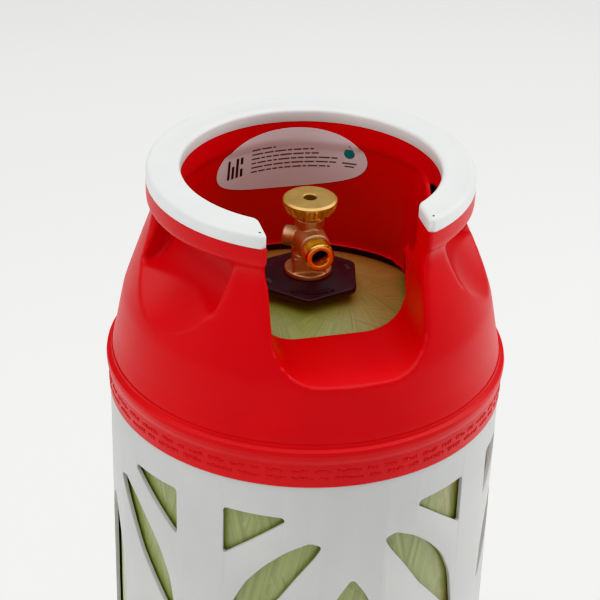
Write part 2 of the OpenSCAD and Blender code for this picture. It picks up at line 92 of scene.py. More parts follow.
def lathe(outline, steps=192, closed=False):  # outline of radius and height in mm, spun round Z
    bm = bmesh.new()
    verts = [bm.verts.new((r * mm, 0, z * mm)) for r, z in outline]
    ends = verts[1:] + verts[:1] if closed else verts[1:]
    edges = [bm.edges.new(pair) for pair in zip(verts, ends)]
    bmesh.ops.spin(bm, geom=verts + edges, cent=(0, 0, 0), axis=(0, 0, 1), angle=math.tau, steps=steps,
                   use_merge=True)
    bmesh.ops.remove_doubles(bm, verts=bm.verts, dist=0.01 * mm)
    bmesh.ops.recalc_face_normals(bm, faces=bm.faces)
    return bm


def prism(outline, low, high, place=Matrix()):  # flat outline in mm, pulled up from low to high
    bm = bmesh.new()
    face = bm.faces.new([bm.verts.new((x * mm, y * mm, low * mm)) for x, y in outline])
    made = bmesh.ops.extrude_face_region(bm, geom=[face])["geom"]
    up = [v for v in made if isinstance(v, bmesh.types.BMVert)]
    bmesh.ops.translate(bm, verts=up, vec=(0, 0, (high - low) * mm))
    bmesh.ops.recalc_face_normals(bm, faces=bm.faces)
    bmesh.ops.transform(bm, matrix=place, verts=bm.verts)
    return bm


def turned(angle, x=0, y=0, z=0):  # a place in mm, turned round Z
    return Matrix.Rotation(math.radians(angle), 4, "Z") @ Matrix.Translation((x * mm, y * mm, z * mm))


def tipped(axis):  # a quarter turn round X or Y
    return Matrix.Rotation(math.radians(90), 4, axis)


def moved(bm, matrix):
    bmesh.ops.transform(bm, matrix=matrix, verts=bm.verts)
    return bm


def cylinder(radius, depth, steps, place):
    bm = bmesh.new()
    bmesh.ops.create_cone(bm, cap_ends=True, segments=steps, radius1=radius * mm, radius2=radius * mm,
                          depth=depth * mm, matrix=place)
    return bm


def cutPlane(bm, place, normal, **more):  # cuts the whole mesh on a plane through this place in mm
    geom = bm.verts[:] + bm.edges[:] + bm.faces[:]
    return bmesh.ops.bisect_plane(bm, geom=geom, plane_co=[c * mm for c in place], plane_no=normal, **more)


def asObject(bm, name, smooth=True):
    mesh = bpy.data.meshes.new(name)
    bm.to_mesh(mesh)
    bm.free()
    obj = bpy.data.objects.new(name, mesh)
    bpy.context.scene.collection.objects.link(obj)
    for face in mesh.polygons:
        face.use_smooth = smooth
    return obj


def bake(obj):  # apply every modifier
    graph = bpy.context.evaluated_depsgraph_get()
    mesh = bpy.data.meshes.new_from_object(obj.evaluated_get(graph))
    obj.modifiers.clear()
    old = obj.data
    obj.data = mesh
    bpy.data.meshes.remove(old)
    mesh.name = obj.name
    return obj


def joinTool(obj, tool, operation):  # the tool is an object, used up by this
    change = obj.modifiers.new("combine", "BOOLEAN")
    change.operation = operation
    change.solver = "EXACT"
    change.object = tool
    bake(obj)
    bpy.data.objects.remove(tool)
    return obj


def combine(obj, bm, operation="DIFFERENCE"):  # cut, add or keep the shape of bm
    return joinTool(obj, asObject(bm, "tool"), operation)


def remesh(obj, voxel):
    change = obj.modifiers.new("remesh", "REMESH")
    change.mode = "VOXEL"
    change.voxel_size = voxel * mm
    change.use_smooth_shade = True
    return bake(obj)


def soften(obj, repeat, where=None):  # where gives the share of the smoothing at a point in mm
    change = obj.modifiers.new("soften", "SMOOTH")
    change.factor = 0.5
    change.iterations = repeat
    if where:
        group = obj.vertex_groups.new(name="soft")
        for vert in obj.data.vertices:
            share = where(vert.co / mm)
            if share > 0:
                group.add([vert.index], share, "REPLACE")
        change.vertex_group = group.name
    bake(obj)
    obj.vertex_groups.clear()
    return obj


def rampBetween(value, low, high):
    t = min(max((value - low) / (high - low), 0), 1)
    return t * t * (3 - 2 * t)


def roundOff(bm, edges, width, steps):
    bmesh.ops.bevel(bm, geom=list(edges), offset=width * mm, offset_type="OFFSET", segments=steps,
                    profile=0.5, affect="EDGES", material=-1)


def softEdges(obj, angle):  # smooth shading, kept sharp over this angle
    obj.data.set_sharp_from_angle(angle=math.radians(angle))


def inSectors(bm, faces, step=7.5, start=1.3):  # cuts wide flat faces round the axis into simple pieces
    geom = list(faces)
    geom += list({e for f in faces for e in f.edges})
    geom += list({v for f in faces for v in f.verts})
    for i in range(int(180 / step)):
        a = math.radians(i * step + start)
        geom = bmesh.ops.bisect_plane(bm, geom=geom, dist=1e-7, plane_co=(0, 0, 0),
                                      plane_no=(-math.sin(a), math.cos(a), 0))["geom"]


def joinInto(obj, other):
    bm = bmesh.new()
    bm.from_mesh(obj.data)
    bm.from_mesh(other.data)
    bpy.data.objects.remove(other)
    bm.to_mesh(obj.data)
    bm.free()
    for face in obj.data.polygons:
        face.use_smooth = True


def colour(code):  # sRGB hex to linear
    parts = [int(code[i:i + 2], 16) / 255 for i in (1, 3, 5)]
    return (*[p / 12.92 if p <= 0.04045 else ((p + 0.055) / 1.055) ** 2.4 for p in parts], 1)


def addNode(material, kind, settings=None, links=None):  # settings go to sockets or to the node itself
    node = material.node_tree.nodes.new("ShaderNode" + kind)
    for key, value in (settings or {}).items():
        if isinstance(key, str) and hasattr(node, key):
            setattr(node, key, value)
    for key, value in (settings or {}).items():
        if not (isinstance(key, str) and hasattr(node, key)):
            node.inputs[key].default_value = value
    for key, source in (links or {}).items():
        material.node_tree.links.new(source, node.inputs[key])
    return node


def startMaterial(name, sockets):
    material = bpy.data.materials.new(name)
    material.use_nodes = True
    shader = material.node_tree.nodes["Principled BSDF"]
    for key, value in sockets.items():
        shader.inputs[key].default_value = value
    return material, shader


# A moulded or metal finish: two colours mixed over large soft patches, and a fine grain in gloss and bump
def grainMaterial(name, look, sockets):
    material, shader = startMaterial(name, sockets)
    link = material.node_tree.links.new
    place = addNode(material, "TexCoord").outputs["Object"]
    patches = addNode(material, "TexNoise", {"Scale": 1000 / look["patch"], "Detail": 3, "Roughness": 0.55},
                      {"Vector": place})
    grain = addNode(material, "TexNoise", {"Scale": 1000 / look["grain"], "Detail": 4, "Roughness": 0.6},
                    {"Vector": place})
    share = addNode(material, "MapRange", {"From Min": 0.35, "From Max": 0.65},
                    {"Value": patches.outputs["Fac"]})
    first, second = [colour(code) for code in look["colours"]]
    mixed = addNode(material, "Mix", {"data_type": "RGBA", 6: first, 7: second}, {0: share.outputs[0]})
    speckle = addNode(material, "MapRange", {"From Min": 0.3, "From Max": 0.7,
                                             "To Min": 1 - look["speckle"]}, {"Value": grain.outputs["Fac"]})
    tone = addNode(material, "Mix", {"data_type": "RGBA", "blend_type": "MULTIPLY", 0: 1.0},
                   {6: mixed.outputs[2], 7: speckle.outputs[0]})
    link(tone.outputs[2], shader.inputs["Base Color"])
    gloss = addNode(material, "MapRange", {"To Min": look["gloss"][0], "To Max": look["gloss"][1]},
                    {"Value": grain.outputs["Fac"]})
    link(gloss.outputs[0], shader.inputs["Roughness"])
    bump = addNode(material, "Bump", {"Strength": look["bump"][0], "Distance": look["bump"][1] * mm},
                   {"Height": grain.outputs["Fac"]})
    link(bump.outputs[0], shader.inputs["Normal"])
    return material


# Red HDPE, injection moulded: satin, with a faint orange peel of about 1.5 mm, and slightly waxy
redPolyethylene = grainMaterial("red_hdpe_moulded", {
    "colours": ("#D60A12", "#CC0710"), "patch": 90, "grain": 1.6, "speckle": 0.04, "gloss": (0.36, 0.46),
    "bump": (0.12, 0.06)}, {"IOR": 1.54, "Specular IOR Level": 0.35})
# Light grey HDPE, injection moulded with a finely eroded tool: matter than the red
greyPolyethylene = grainMaterial("grey_hdpe_moulded", {
    "colours": ("#CFCFCD", "#C8C9C8"), "patch": 120, "grain": 1.1, "speckle": 0.03, "gloss": (0.46, 0.6),
    "bump": (0.15, 0.05)}, {"IOR": 1.54})
# White glass-filled nylon of the grip ring: smooth with faint flow marks
whiteNylon = grainMaterial("white_nylon_moulded", {
    "colours": ("#E6E8E6", "#DFE1E0"), "patch": 45, "grain": 1.4, "speckle": 0.02, "gloss": (0.34, 0.46),
    "bump": (0.1, 0.05)}, {"IOR": 1.53})
# Black nylon of the neck plate: moulded, satin, with a brown tinge
blackNylon = grainMaterial("black_nylon_moulded", {
    "colours": ("#2E2428", "#3B2F34"), "patch": 30, "grain": 0.9, "speckle": 0.12, "gloss": (0.38, 0.52),
    "bump": (0.25, 0.08)}, {"IOR": 1.53})
# Sand-cast brass, pickled: pinkish, matt and rough, with grit of about 0.7 mm
castBrass = grainMaterial("cast_brass", {
    "colours": ("#DDB395", "#D0A07C"), "patch": 9, "grain": 0.8, "speckle": 0.22, "gloss": (0.38, 0.6),
    "bump": (0.55, 0.2)}, {"Metallic": 1.0})
# Blasted brass of the handwheel: yellow, satin, with fine shot marks of about 0.5 mm
blastedBrass = grainMaterial("blasted_brass", {
    "colours": ("#E2C080", "#D8B06E"), "patch": 12, "grain": 0.7, "speckle": 0.18, "gloss": (0.42, 0.58),
    "bump": (0.4, 0.12)}, {"Metallic": 1.0})
# Turned brass: bright, with fine tool marks
turnedBrass = grainMaterial("turned_brass", {
    "colours": ("#E2B566", "#D9A558"), "patch": 14, "grain": 0.6, "speckle": 0.05, "gloss": (0.14, 0.24),
    "bump": (0.08, 0.05)}, {"Metallic": 1.0})
# Oxidised brass down in the handwheel's recess: dark brown and dull
oxidisedBrass = grainMaterial("oxidised_brass", {
    "colours": ("#5E4225", "#4A331D"), "patch": 8, "grain": 0.6, "speckle": 0.25, "gloss": (0.5, 0.65),
    "bump": (0.3, 0.08)}, {"Metallic": 1.0})
# Machined aluminium boss: pale and satin
machinedAluminium = grainMaterial("machined_aluminium", {
    "colours": ("#C9CBCD", "#BFC1C4"), "patch": 20, "grain": 0.6, "speckle": 0.06, "gloss": (0.25, 0.38),
    "bump": (0.1, 0.04)}, {"Metallic": 1.0})
# Nitrile rubber of seals and pads: black and matt
nitrileRubber = grainMaterial("nitrile_rubber", {
    "colours": ("#1B1B1C", "#242425"), "patch": 15, "grain": 0.8, "speckle": 0.1, "gloss": (0.6, 0.75),
    "bump": (0.2, 0.06)}, {"IOR": 1.52})
# Natural HDPE of the liner: milky and waxy
naturalPolyethylene = grainMaterial("natural_hdpe_blown", {
    "colours": ("#E9E5D6", "#E0DBC9"), "patch": 60, "grain": 1.5, "speckle": 0.03, "gloss": (0.4, 0.5),
    "bump": (0.1, 0.06)}, {"IOR": 1.54})
# Drawn spring steel: grey and bright
springSteel = grainMaterial("spring_steel", {
    "colours": ("#A9ABAE", "#9A9CA0"), "patch": 10, "grain": 0.5, "speckle": 0.08, "gloss": (0.22, 0.34),
    "bump": (0.08, 0.03)}, {"Metallic": 1.0})
# Printed polypropylene film: smooth, pale, faintly pink
labelFilm = grainMaterial("label_film", {
    "colours": ("#E6DCDD", "#E2D7D9"), "patch": 40, "grain": 2.0, "speckle": 0.02, "gloss": (0.32, 0.42),
    "bump": (0.05, 0.03)}, {"IOR": 1.49})
# Printing inks: flat, with a fine dot of the screen
darkInk = grainMaterial("dark_ink", {
    "colours": ("#2B2727", "#353030"), "patch": 10, "grain": 0.5, "speckle": 0.15, "gloss": (0.4, 0.5),
    "bump": (0.05, 0.02)}, {"IOR": 1.5})
greyInk = grainMaterial("grey_ink", {
    "colours": ("#77706F", "#6B6564"), "patch": 10, "grain": 0.5, "speckle": 0.2, "gloss": (0.4, 0.5),
    "bump": (0.05, 0.02)}, {"IOR": 1.5})
tealInk = grainMaterial("teal_ink", {
    "colours": ("#2E8F86", "#2A6F86"), "patch": 8, "grain": 0.5, "speckle": 0.1, "gloss": (0.4, 0.5),
    "bump": (0.05, 0.02)}, {"IOR": 1.5})


# Glass fibre wound over the vessel in two crossing directions and set in greenish epoxy.
# Seen from above, every tow runs along a line that touches the neck's circle, then as a helix down the side.
winding = {"neckR": 30, "tow": 3.2, "thread": 0.7, "patch": 15, "cloud": 40, "green": "#98A365",
           "tan": "#A89468", "gap": "#7A7B48", "fibre": "#D3D2AE"}


def windingMaterial(name):
    material, shader = startMaterial(name, {"IOR": 1.55, "Coat Weight": 0.35, "Coat Roughness": 0.12,
                                            "Coat IOR": 1.5})
    link = material.node_tree.links.new
    place = addNode(material, "TexCoord").outputs["Object"]
    parts = addNode(material, "SeparateXYZ", links={0: place}).outputs
    flat = addNode(material, "VectorMath", {"operation": "MULTIPLY", 1: (1, 1, 0)}, {0: place}).outputs[0]
    radius = addNode(material, "VectorMath", {"operation": "LENGTH"}, {0: flat}).outputs["Value"]
    around = addNode(material, "Math", {"operation": "ARCTAN2"}, {0: parts[1], 1: parts[0]}).outputs[0]
    share = addNode(material, "Math", {"operation": "DIVIDE", "use_clamp": True, 0: winding["neckR"] * mm},
                    {1: radius})
    lean = addNode(material, "Math", {"operation": "ARCCOSINE"}, {0: share.outputs[0]}).outputs[0]
    slope = math.tan(math.asin(winding["neckR"] / vesselR)) / (vesselR * mm)
    reach = addNode(material, "Math", {"operation": "MULTIPLY_ADD", 1: slope},
                    {0: parts[2], 2: lean}).outputs[0]
    layers = []
    for side in (1, -1):
        line = addNode(material, "Math", {"operation": "MULTIPLY_ADD", 1: side},
                       {0: reach, 2: around}).outputs[0]
        east = addNode(material, "Math", {"operation": "COSINE"}, {0: line}).outputs[0]
        north = addNode(material, "Math", {"operation": "SINE"}, {0: line}).outputs[0]
        ring = addNode(material, "CombineXYZ", {2: 3.7 * side}, {0: east, 1: north}).outputs[0]
        tows = addNode(material, "TexNoise", {"Scale": vesselR / winding["tow"], "Detail": 2,
                                              "Roughness": 0.5}, {"Vector": ring}).outputs["Fac"]
        threads = addNode(material, "TexNoise", {"Scale": vesselR / winding["thread"], "Detail": 3,
                                                 "Roughness": 0.7}, {"Vector": ring}).outputs["Fac"]
        layers.append((tows, threads))
    # which of the two directions lies on top, in patches
    weave = addNode(material, "TexNoise", {"Scale": 1000 / winding["patch"], "Detail": 1, "Roughness": 0.4},
                    {"Vector": place})
    over = addNode(material, "MapRange", {"From Min": 0.46, "From Max": 0.54},
                   {"Value": weave.outputs["Fac"]}).outputs[0]
    tows, threads = [addNode(material, "Mix", {"data_type": "FLOAT"}, {0: over, 2: one, 3: other}).outputs[0]
                     for one, other in zip(*layers)]
    # the resin is greener towards the front left and tan towards the back right
    cross = addNode(material, "Math", {"operation": "ADD"}, {0: parts[0], 1: parts[1]}).outputs[0]
    resin = addNode(material, "TexNoise", {"Scale": 1000 / winding["cloud"], "Detail": 2, "Roughness": 0.5},
                    {"Vector": place})
    drift = addNode(material, "Math", {"operation": "MULTIPLY_ADD", 1: 0.12},
                    {0: resin.outputs["Fac"], 2: cross}).outputs[0]
    tan = addNode(material, "MapRange", {"From Min": -0.01, "From Max": 0.1}, {"Value": drift}).outputs[0]
    base = addNode(material, "Mix", {"data_type": "RGBA", 6: colour(winding["green"]),
                                     7: colour(winding["tan"])}, {0: tan})
    dark = addNode(material, "MapRange", {"From Min": 0.3, "From Max": 0.62, "To Min": 0.35},
                   {"Value": tows}).outputs[0]
    towed = addNode(material, "Mix", {"data_type": "RGBA", 6: colour(winding["gap"])},
                    {0: dark, 7: base.outputs[2]})
    pale = addNode(material, "MapRange", {"From Min": 0.58, "From Max": 0.74, "To Max": 0.42},
                   {"Value": threads}).outputs[0]
    fibres = addNode(material, "Mix", {"data_type": "RGBA", 7: colour(winding["fibre"])},
                     {0: pale, 6: towed.outputs[2]})
    link(fibres.outputs[2], shader.inputs["Base Color"])
    height = addNode(material, "Math", {"operation": "MULTIPLY_ADD", 1: 0.35},
                     {0: threads, 2: tows}).outputs[0]
    bump = addNode(material, "Bump", {"Strength": 0.3, "Distance": 0.3 * mm}, {"Height": height})
    link(bump.outputs[0], shader.inputs["Normal"])
    gloss = addNode(material, "MapRange", {"To Min": 0.26, "To Max": 0.44}, {"Value": threads})
    link(gloss.outputs[0], shader.inputs["Roughness"])
    return material


glassFibre = windingMaterial("wound_glass_fibre")
print("materials made")


def finishPiece(obj, body, slot, material, *nodes):
    obj.data.materials.append(material)
    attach(obj, body)
    if nodes:
        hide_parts(*nodes)
    print("made", obj.name, len(obj.data.polygons), "faces")
    return obj


hood = {"wall": 3.2, "flare": 13, "shelf": 77, "backEdge": 59, "backY": 40, "gap": 115.2, "gapR": 55,
        "railW": 25.2, "railH": 17.6, "holdAngle": 21.5, "scoopR": 120, "scoopOut": 84.3, "scoopUp": 14.4,
        "pocketR": 24, "pocketW": 92, "pocketDrop": 16, "pocketGap": 0.8, "slotH": 12, "slotR": 102,
        "wellArc": 154, "wellFlat": 7.5, "ledge": 3, "bowl": 30, "blockY": -65, "holeHalf": 74,
        "voxel": 2.0, "bandTop": 33, "skirtH": 19.6, "beadOut": 1.8}
skirtR = beadR - hood["beadOut"]
railInR = railR - hood["railW"]
railLow = seatZ - hood["railH"]
holdInR = railInR - hood["wellFlat"]
holdAngles = (-hood["holdAngle"], 180 + hood["holdAngle"])


def hoodOutline(inset, low, high):  # from the axis out, up the side and back, over the skirt's edge
    side = [(148.9, low), (147.3, 38), (145, 48), (142.4, 62), (138.9, 80), (132, 100), (124.6, 121),
            (120.2, 133), (117, 145), (116, 151), (116.2, 154.6), (railR - 0.6, 156.6), (railR, 160)]
    points = [(0, low, 0), (side[0][0] - inset, low, 0)]
    points += [(r - inset, z, 60) for r, z in side[1:10]]
    points += [(r - inset, z, 2) for r, z in side[10:]] if inset == 0 else []
    top = points[-1][0]
    return [(r, skirtZ + z) for r, z in rounded(points + [(top, high, 0), (0, high, 0)], closed=False)]


def cutWell(obj, grow, steps):  # the room inside the collar, with a dished shelf and flattened sides
    foot = railInR + hood["flare"] + grow
    knee = railLow - hood["ledge"]
    back = skirtZ + hood["backEdge"] - (0 if grow else 1)
    front = skirtZ + hood["shelf"] - grow
    bowl = hood["bowl"]
    cone = [(0, back), (foot, back), (railInR + 2 + grow, knee), (railInR + 0.7 + grow, railLow),
            (0, railLow)]
    well = asObject(lathe(cone, steps), "well")
    under = back - 9
    above = front + bowl + 30
    dish = rounded([(0, under, 0), (foot + 20, under, 0), (foot + 20, above, 0), (foot + 4, above, 0),
                    (foot - 1, front, bowl), (0, front, 0)], closed=False, steps=10)
    shelf = asObject(lathe(dish, steps), "shelf")
    edge = hood["backY"] - grow
    ahead = [(-200, edge), (-200, -200), (200, -200), (200, edge)]
    combine(shelf, prism(ahead, skirtZ, seatZ + 40), "INTERSECT")
    joinTool(well, shelf, "DIFFERENCE")
    if grow == 0:
        joinTool(well, frontBlock(), "DIFFERENCE")
    for angle in holdAngles:
        place = turned(angle, holdInR - hood["wellArc"], 0, railLow)
        combine(well, cylinder(hood["wellArc"] + grow, 400, steps, place), "INTERSECT")
    joinTool(obj, well, "DIFFERENCE")
    return combine(obj, lathe([(0, knee + 2), (railInR + grow, knee + 2), (railInR + grow, seatZ + 30),
                               (0, seatZ + 30)], steps))


def holeOutline():  # seen from above: the open middle of the shelf, with broad round front corners
    half = hood["holeHalf"]
    wide = railInR - 7
    return rounded([(-half, hood["blockY"], 42), (half, hood["blockY"], 42), (half, -10, 30), (wide, 36, 12),
                    (wide, 50, 0), (-wide, 50, 0), (-wide, 36, 12), (-half, -10, 30)], steps=12)


def frontBlock():  # solid part of the collar that the front opening tunnels through
    side = [(-125, 50), (-30, 50), (-48, 104), (-78, 152), (-125, 152)]  # Y, height over the skirt's edge
    block = asObject(prism(side, -110, 110, Matrix.Translation((0, 0, skirtZ * mm)) @ upright), "block")
    return combine(block, prism(holeOutline(), skirtZ + 40, skirtZ + 160))


def frontGap(grow):  # the U-shaped opening, running inwards over the shelf
    low = hood["shelf"] - 0.6 - grow
    half = hood["gap"] / 2 + grow
    foot = hood["gapR"] + grow
    bend = low + foot + 4
    outline = rounded([(-foot, low, foot), (foot, low, foot), (foot, bend, 40), (half, 154, 30),
                       (half, 200, 0), (-half, 200, 0), (-half, 154, 30), (-foot, bend, 40)], steps=12)
    return prism(outline, 0, 200, Matrix.Translation((0, -40 * mm, skirtZ * mm)) @ tipped("X"))


def handHold(obj, grow, steps):  # a broad scoop with a deep pocket behind the rail, on each side
    pocketX = holdInR + hood["wall"] + hood["pocketGap"] + hood["pocketR"]
    square = [(-400, -400), (400, -400), (400, 400), (-400, 400)]
    for angle in holdAngles:
        scoop = bmesh.new()
        bmesh.ops.create_uvsphere(scoop, u_segments=steps, v_segments=steps // 2,
                                  radius=(hood["scoopR"] + grow) * mm,
                                  matrix=turned(angle, railR + hood["scoopOut"], 0, seatZ + hood["scoopUp"]))
        lay = turned(angle, pocketX, 0, railLow - hood["pocketDrop"]) @ tipped("X")
        hold = asObject(scoop, "hold")
        combine(hold, cylinder(hood["pocketR"] + grow, hood["pocketW"] + 2 * grow, steps, lay), "UNION")
        combine(hold, prism(square, skirtZ, railLow + 0.4 + grow), "INTERSECT")
        joinTool(obj, hold, "DIFFERENCE")
    return obj


def shelfHole(obj):
    return combine(obj, prism(holeOutline(), skirtZ + 41, skirtZ + hood["shelf"] + 3))


def handSlot(obj):
    middle = railLow - hood["slotH"] + hood["slotR"]
    for angle in holdAngles:
        bm = cylinder(hood["slotR"], 30, 192, turned(angle, railInR - 1, 0, middle) @ tipped("Y"))
        cutPlane(bm, (0, 0, railLow), (0, 0, 1), clear_outer=True)
        bmesh.ops.holes_fill(bm, edges=bm.edges)
        combine(obj, bm)
    return obj


def hoodSoftness(point):  # more rounding in the bowl, on the pillars' inner corners and along the front lip
    x, y, z = point
    rel = z - skirtZ
    if y > 20 or rel > 168:
        return 0
    r = math.hypot(x, y)
    side = rampBetween(-y, 20, 60) * rampBetween(125 - r, -14, 4)
    return side * rampBetween(170 - rel, 4, 20) * rampBetween(110 - abs(x), 0, 30)


def makeHood():
    obj = asObject(lathe(hoodOutline(0, 26, hood["bandTop"] + 150), 240), "upper_casing_moulding")
    cutWell(obj, 0, 192)
    shelfHole(obj)
    combine(obj, frontGap(0))
    handHold(obj, 0, 192)
    handSlot(obj)
    remesh(obj, hood["voxel"])
    soften(obj, 4)
    soften(obj, 30, hoodSoftness)
    print("hood shaped", len(obj.data.polygons))
    return obj


def trimTop(obj):  # a flat seat for the grip ring
    bm = bmesh.new()
    bm.from_mesh(obj.data)
    cut = cutPlane(bm, (0, 0, seatZ - 0.05), (0, 0, 1), clear_outer=True)["geom_cut"]
    edges = [e for e in cut if isinstance(e, bmesh.types.BMEdge)]
    inSectors(bm, bmesh.ops.edgeloop_fill(bm, edges=edges)["faces"])
    bm.to_mesh(obj.data)
    bm.free()


def hoodHollow():  # the room between the two skins, open at the bottom
    cavity = asObject(lathe(hoodOutline(hood["wall"], -2, 164), 72), "cavity")
    cutWell(cavity, hood["wall"], 72)
    combine(cavity, frontGap(hood["wall"]))
    return handHold(cavity, hood["wall"], 72)


def skirtBand():  # skirt, fine line, rolled bead, and the crease under the hood
    inner = skirtR - hood["wall"]
    line = hood["skirtH"]
    outline = rounded([
        (inner, 0, 0.4), (skirtR, 0, 0.5), (skirtR, line - 0.8, 0.2), (skirtR + 0.35, line - 0.4, 0.2),
        (skirtR + 0.35, line + 0.2, 0.3), (beadR - 0.3, 23.4, 3), (beadR, 27, 3), (beadR - 0.5, 30.2, 1.2),
        (skirtR - 1.7, 31.4, 0.5), (148.4, 34.5, 0), (145.6, 34.5, 0), (inner - 1.5, 24, 2)], steps=5)
    return lathe([(r, skirtZ + z) for r, z in outline], 240, closed=True)


def skirtMarks():  # two rows of small raised marks, like moulded-in lettering but with no letters
    pick = random.Random(7)
    bm = bmesh.new()
    for height, start in ((7.6, 0), (13.6, 4)):
        angle = start
        while angle < 358 + start:
            for _ in range(pick.randint(3, 9)):
                width = pick.choice((0.9, 1.4, 1.9))
                tall = pick.choice((1.6, 2.6, 2.6))
                place = turned(angle, skirtR + 0.06, 0, skirtZ + height + (tall - 2.6) / 2)
                bmesh.ops.create_cube(bm, size=mm, matrix=place @ Matrix.Diagonal((0.56, width, tall, 1)))
                angle += (width + 0.9) * 0.38
            angle += 1.6
    return bm


hoodPiece = makeHood()
trimTop(hoodPiece)
combine(hoodPiece, skirtBand(), "UNION")
joinTool(hoodPiece, hoodHollow(), "DIFFERENCE")
for polygon in hoodPiece.data.polygons:
    polygon.use_smooth = True
softEdges(hoodPiece, 42)
finishPiece(hoodPiece, "tank", "red_hdpe", redPolyethylene, "upper_casing")
marksPiece = asObject(skirtMarks(), "skirt_marks", smooth=False)
finishPiece(marksPiece, "tank", "red_hdpe", redPolyethylene)


ring = {"edge": 3.4, "corner": 9, "rim": 1.6, "line": 0.9, "lineDip": 0.25, "steps": 96}


def ringArc(radius):  # from one side of the front opening round the back to the other
    start = math.asin(hood["gap"] / 2 / radius)
    angles = [start + (math.tau - 2 * start) * i / ring["steps"] for i in range(ring["steps"] + 1)]
    points = [(radius * math.sin(a), -radius * math.cos(a), 0) for a in angles]
    for end in (0, -1):
        points[end] = (*points[end][:2], ring["corner"])
    return points


def dropNear(corners):  # leaves room for the rounded corners
    out = []
    ends = [Vector(c[:2]) for c in corners if c[2] > 0]
    for x, y, radius in corners:
        near = min((end - Vector((x, y))).length for end in ends)
        if radius > 0 or near > ring["corner"] * 1.1:
            out.append((x, y, radius))
    return out


def ringShape():
    outline = dropNear(ringArc(railR) + ringArc(railInR)[::-1])
    bm = prism(rounded(outline, steps=8), seatZ, ringTop)
    rim = {e for f in bm.faces if f.normal.z > 0.9 for e in f.edges}
    roundOff(bm, rim, ring["edge"], 5)
    roundOff(bm, {e for f in bm.faces if f.normal.z < -0.99 for e in f.edges}, 0.5, 2)
    top = [f for f in bm.faces if f.normal.z > 0.99]
    bmesh.ops.inset_region(bm, faces=top, thickness=ring["rim"] * mm, depth=0)
    top = [f for f in bm.faces if f.normal.z > 0.99 and f.calc_area() > 1e-3]
    bmesh.ops.inset_region(bm, faces=top, thickness=ring["line"] * mm, depth=-ring["lineDip"] * mm)
    bmesh.ops.remove_doubles(bm, verts=bm.verts, dist=0.12 * mm)
    inSectors(bm, bm.faces[:])
    return bm


ringPiece = asObject(ringShape(), "grip_ring_moulding")
softEdges(ringPiece, 30)
finishPiece(ringPiece, "tank", "white_polymer", whiteNylon, "grip_ring")


casing = {"wall": 3.2, "foot": 9, "footIn": 8, "floorR": 55, "spigotH": 14, "spigotT": 2, "fit": 0.4,
          "groups": 4, "ribR": 96, "edge": 0.7}
# angle from the middle of a group, depth under the skirt, and corner radius
triangle = [(17.5, 28, 3.2), (37.3, 26.5, 3.2), (37.3, 69, 1.6)]
leaf = [(9, 53, 3), (12.5, 49.5, 6), (19, 58, 60), (25, 72, 60), (30.4, 89, 60), (34.5, 112, 60),
        (37, 152, 1.5), (34.5, 146, 4), (28, 125, 60), (21.2, 103.5, 60), (16, 82, 60), (10.7, 62, 60)]
spindle = [(0, 84, 3), (4, 100, 60), (8, 125, 60), (10, 155, 60)]


def windowTool(points, middle, turn):
    flat = [(casingR * math.sin(math.radians(a - middle)), z, radius) for a, z, radius in points]
    return prism(rounded(flat, steps=5), 100, 170, turned(turn + middle - 90) @ upright)


def windowTools():
    bm = bmesh.new()
    for group in range(casing["groups"]):
        turn = 360 / casing["groups"] * group
        for side in (-1, 1):
            for shape, middle in ((triangle, 28), (leaf, 24)):
                for flip in (False, True):
                    points = [(side * a, z if flip else skirtZ - z, radius) for a, z, radius in shape]
                    addTo(bm, windowTool(points, side * middle, turn))
        half = [(a, skirtZ - z, radius) for a, z, radius in spindle] + spindle[::-1]
        whole = half + [(-a, z, radius) for a, z, radius in half[-2:0:-1]]
        addTo(bm, windowTool(whole, 0, turn))
    bmesh.ops.recalc_face_normals(bm, faces=bm.faces)
    return bm


def addTo(bm, other):
    mesh = bpy.data.meshes.new("part")
    other.to_mesh(mesh)
    other.free()
    bm.from_mesh(mesh)
    bpy.data.meshes.remove(mesh)


def casingOutline():
    wall = casing["wall"]
    foot = casing["foot"]
    inR = casingR - wall
    spigotR = skirtR - wall - casing["fit"]
    spigotIn = spigotR - casing["spigotT"]
    spigotTop = skirtZ + casing["spigotH"]
    footR = casingR - casing["footIn"]
    floorR = casing["floorR"]
    return rounded([
        (footR, 0, 0.8), (footR + wall, 0, 0.8), (casingR, foot + 6, 14), (casingR, skirtZ, 0.3),
        (spigotR, skirtZ, 0), (spigotR, spigotTop, 0.5), (spigotIn, spigotTop, 0.5),
        (spigotIn, skirtZ - 4, 0), (inR, skirtZ - 8, 0), (inR, foot + 12, 8),
        (inR - casing["footIn"], foot + wall, 4), (floorR, foot + wall, 0.5), (floorR, foot, 0.5),
        (footR, foot, 0.5)])


def makeCasing():
    obj = asObject(lathe(casingOutline(), 180, closed=True), "lower_casing_moulding")
    combine(obj, windowTools())
    edge = obj.modifiers.new("edge", "BEVEL")
    edge.width = casing["edge"] * mm
    edge.segments = 2
    edge.limit_method = "ANGLE"
    edge.angle_limit = math.radians(50)
    edge.miter_outer = "MITER_ARC"
    bake(obj)
    low = casing["foot"] + 1
    high = nodeBox("base_pad")[0].z
    outR = casing["ribR"] + casing["wall"]
    rib = lathe([(casing["ribR"], low), (outR, low), (outR, high), (casing["ribR"], high)], 120, closed=True)
    joinInto(obj, asObject(rib, "rib"))
    return obj


casingPiece = makeCasing()
softEdges(casingPiece, 35)
finishPiece(casingPiece, "tank", "grey_hdpe", greyPolyethylene, "lower_casing")


vessel = {"domeH": 80, "winding": 4.2, "neckR": 16.5, "steps": 28}


